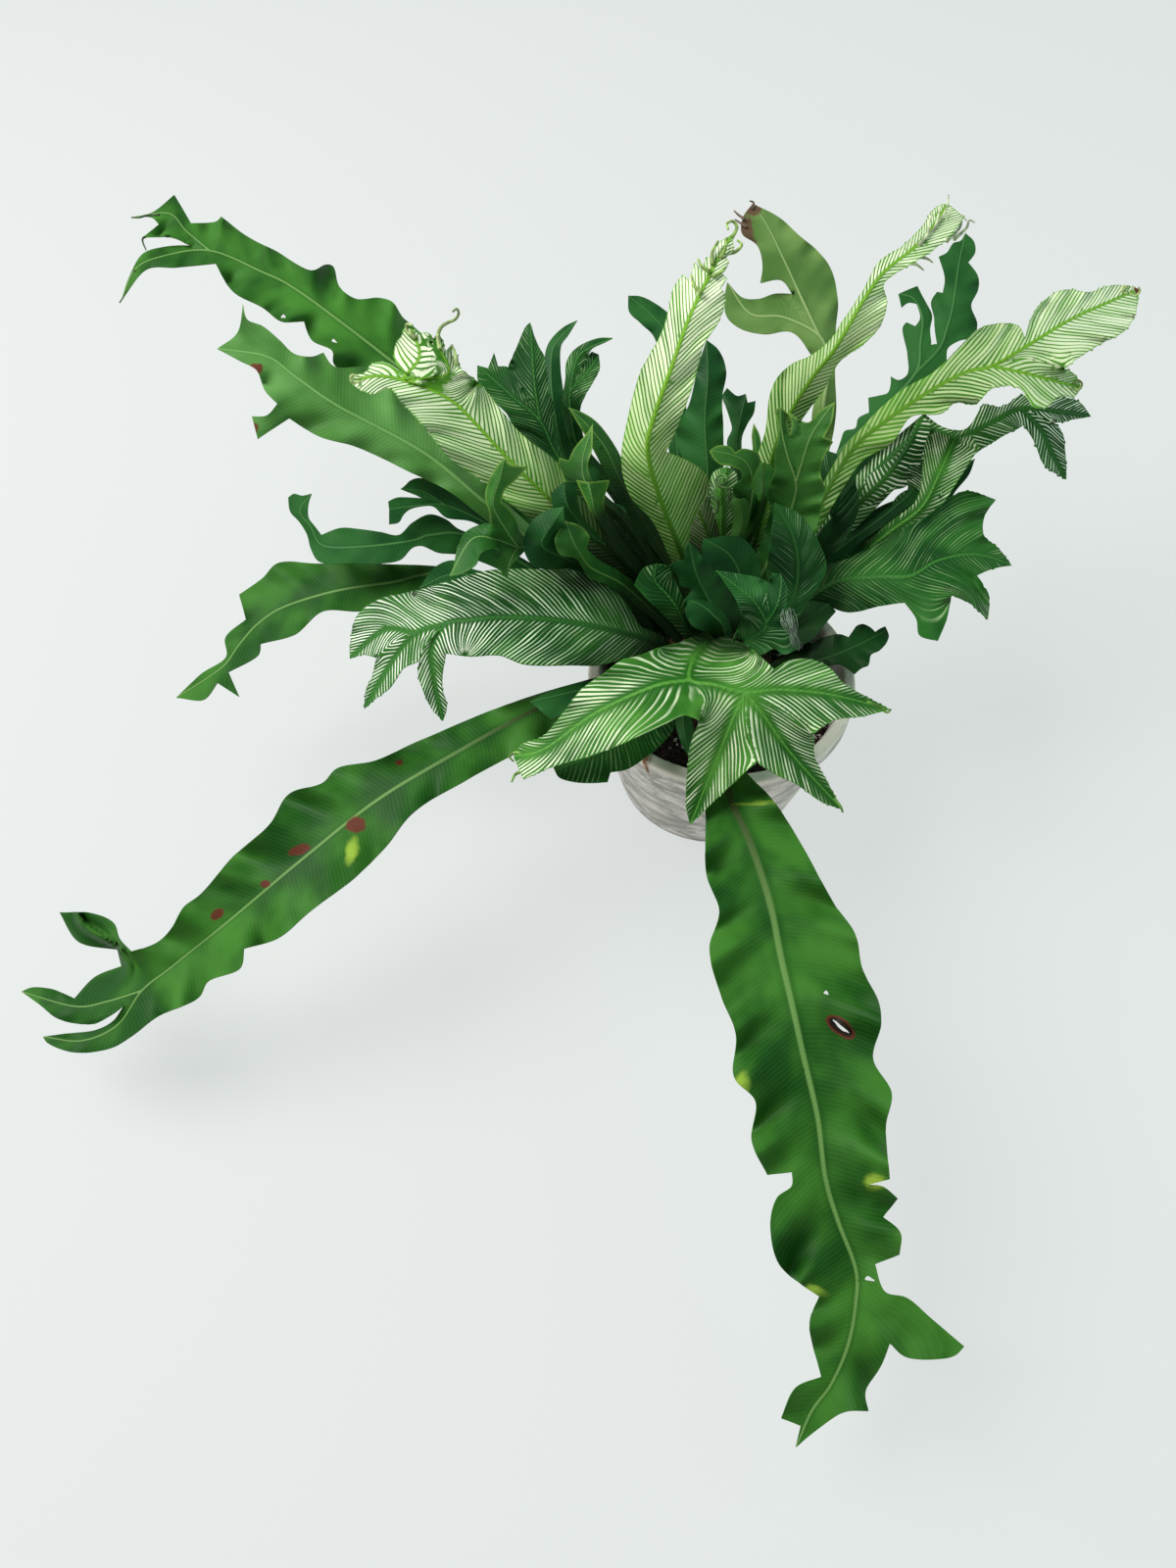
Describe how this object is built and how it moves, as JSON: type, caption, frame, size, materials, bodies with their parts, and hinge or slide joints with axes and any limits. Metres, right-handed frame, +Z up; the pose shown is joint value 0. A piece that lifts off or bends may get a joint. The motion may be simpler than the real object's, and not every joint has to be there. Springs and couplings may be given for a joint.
{
  "type": "potted bird's nest fern",
  "caption": "Potted bird's nest fern in a round tapered pot: strap fronds with crested, forked tips, some green and some striped white, arch out of a low crown.",
  "frame": {"origin": "centre of the pot's underside, on the surface it stands on", "axes": "+Z up along the pot's axis; -Y towards the long frond that hangs to the front; +X to the right as seen from the front"},
  "size_m": [0.6131, 0.665, 0.2925],
  "materials": {
    "grey_cement": "weathered matt cement with faint streaks",
    "brown_stem": "matt, scaly and fibrous",
    "potting_mix": "matt dark crumbs with white perlite grains",
    "plain_green_leaf": "glossy mid green with a paler midrib",
    "dark_green_leaf": "glossy dark green with a paler midrib",
    "fresh_green_leaf": "glossy light green with a pale midrib",
    "young_yellow_green_leaf": "satin yellow-green, greener by the midrib",
    "pale_ageing_leaf": "satin pale olive with faint veins",
    "white_striped_green_leaf": "satin green with fine white stripes along the veins",
    "green_striped_cream_leaf": "satin cream-white with fine dark green veins"
  },
  "bodies": {
    "root": {"pot": "grey_cement", "crown": "brown_stem", "potting_mix": "potting_mix", "frond_front_long": "plain_green_leaf", "frond_left_long": "plain_green_leaf", "frond_upper_left_long": "plain_green_leaf", "frond_left_second": "fresh_green_leaf", "frond_left_low": "fresh_green_leaf", "frond_left_curled": "dark_green_leaf", "frond_back_pale": "pale_ageing_leaf", "frond_back_dark": "dark_green_leaf", "frond_striped_left": "green_striped_cream_leaf", "frond_striped_upright": "green_striped_cream_leaf", "frond_striped_twisted": "green_striped_cream_leaf", "frond_striped_right": "green_striped_cream_leaf", "frond_right_arching": "white_striped_green_leaf", "frond_right_fingered": "white_striped_green_leaf", "frond_right_behind": "dark_green_leaf", "frond_striped_low_left": "white_striped_green_leaf", "frond_hero_front": "white_striped_green_leaf", "leaf_crested_back_left": "dark_green_leaf", "leaf_fingered_back_left": "dark_green_leaf", "leaf_narrow_back_left": "dark_green_leaf", "leaf_strap_back_left": "young_yellow_green_leaf", "leaf_pointed_left": "young_yellow_green_leaf", "leaf_crested_left": "young_yellow_green_leaf", "leaf_blue_green_left": "plain_green_leaf", "leaf_three_cornered": "young_yellow_green_leaf", "leaf_dark_under_left": "dark_green_leaf", "leaf_dark_small_left": "dark_green_leaf", "leaf_rolled_young": "young_yellow_green_leaf", "leaf_dark_back_wide": "dark_green_leaf", "leaf_dark_back_crested": "dark_green_leaf", "leaf_behind_upright": "dark_green_leaf", "leaf_crested_back_right": "young_yellow_green_leaf", "leaf_light_back": "young_yellow_green_leaf", "leaf_dark_fan_right": "dark_green_leaf", "leaf_rolled_striped": "white_striped_green_leaf", "leaf_dark_lobed_middle": "dark_green_leaf", "leaf_dark_round_middle": "plain_green_leaf", "leaf_oval_middle": "plain_green_leaf", "leaf_striped_crest_middle": "white_striped_green_leaf", "leaf_small_wavy_right": "dark_green_leaf", "leaf_dark_front_left": "dark_green_leaf", "leaf_dark_low_left": "dark_green_leaf", "leaf_spear_front": "dark_green_leaf"}
  },
  "joints": []
}
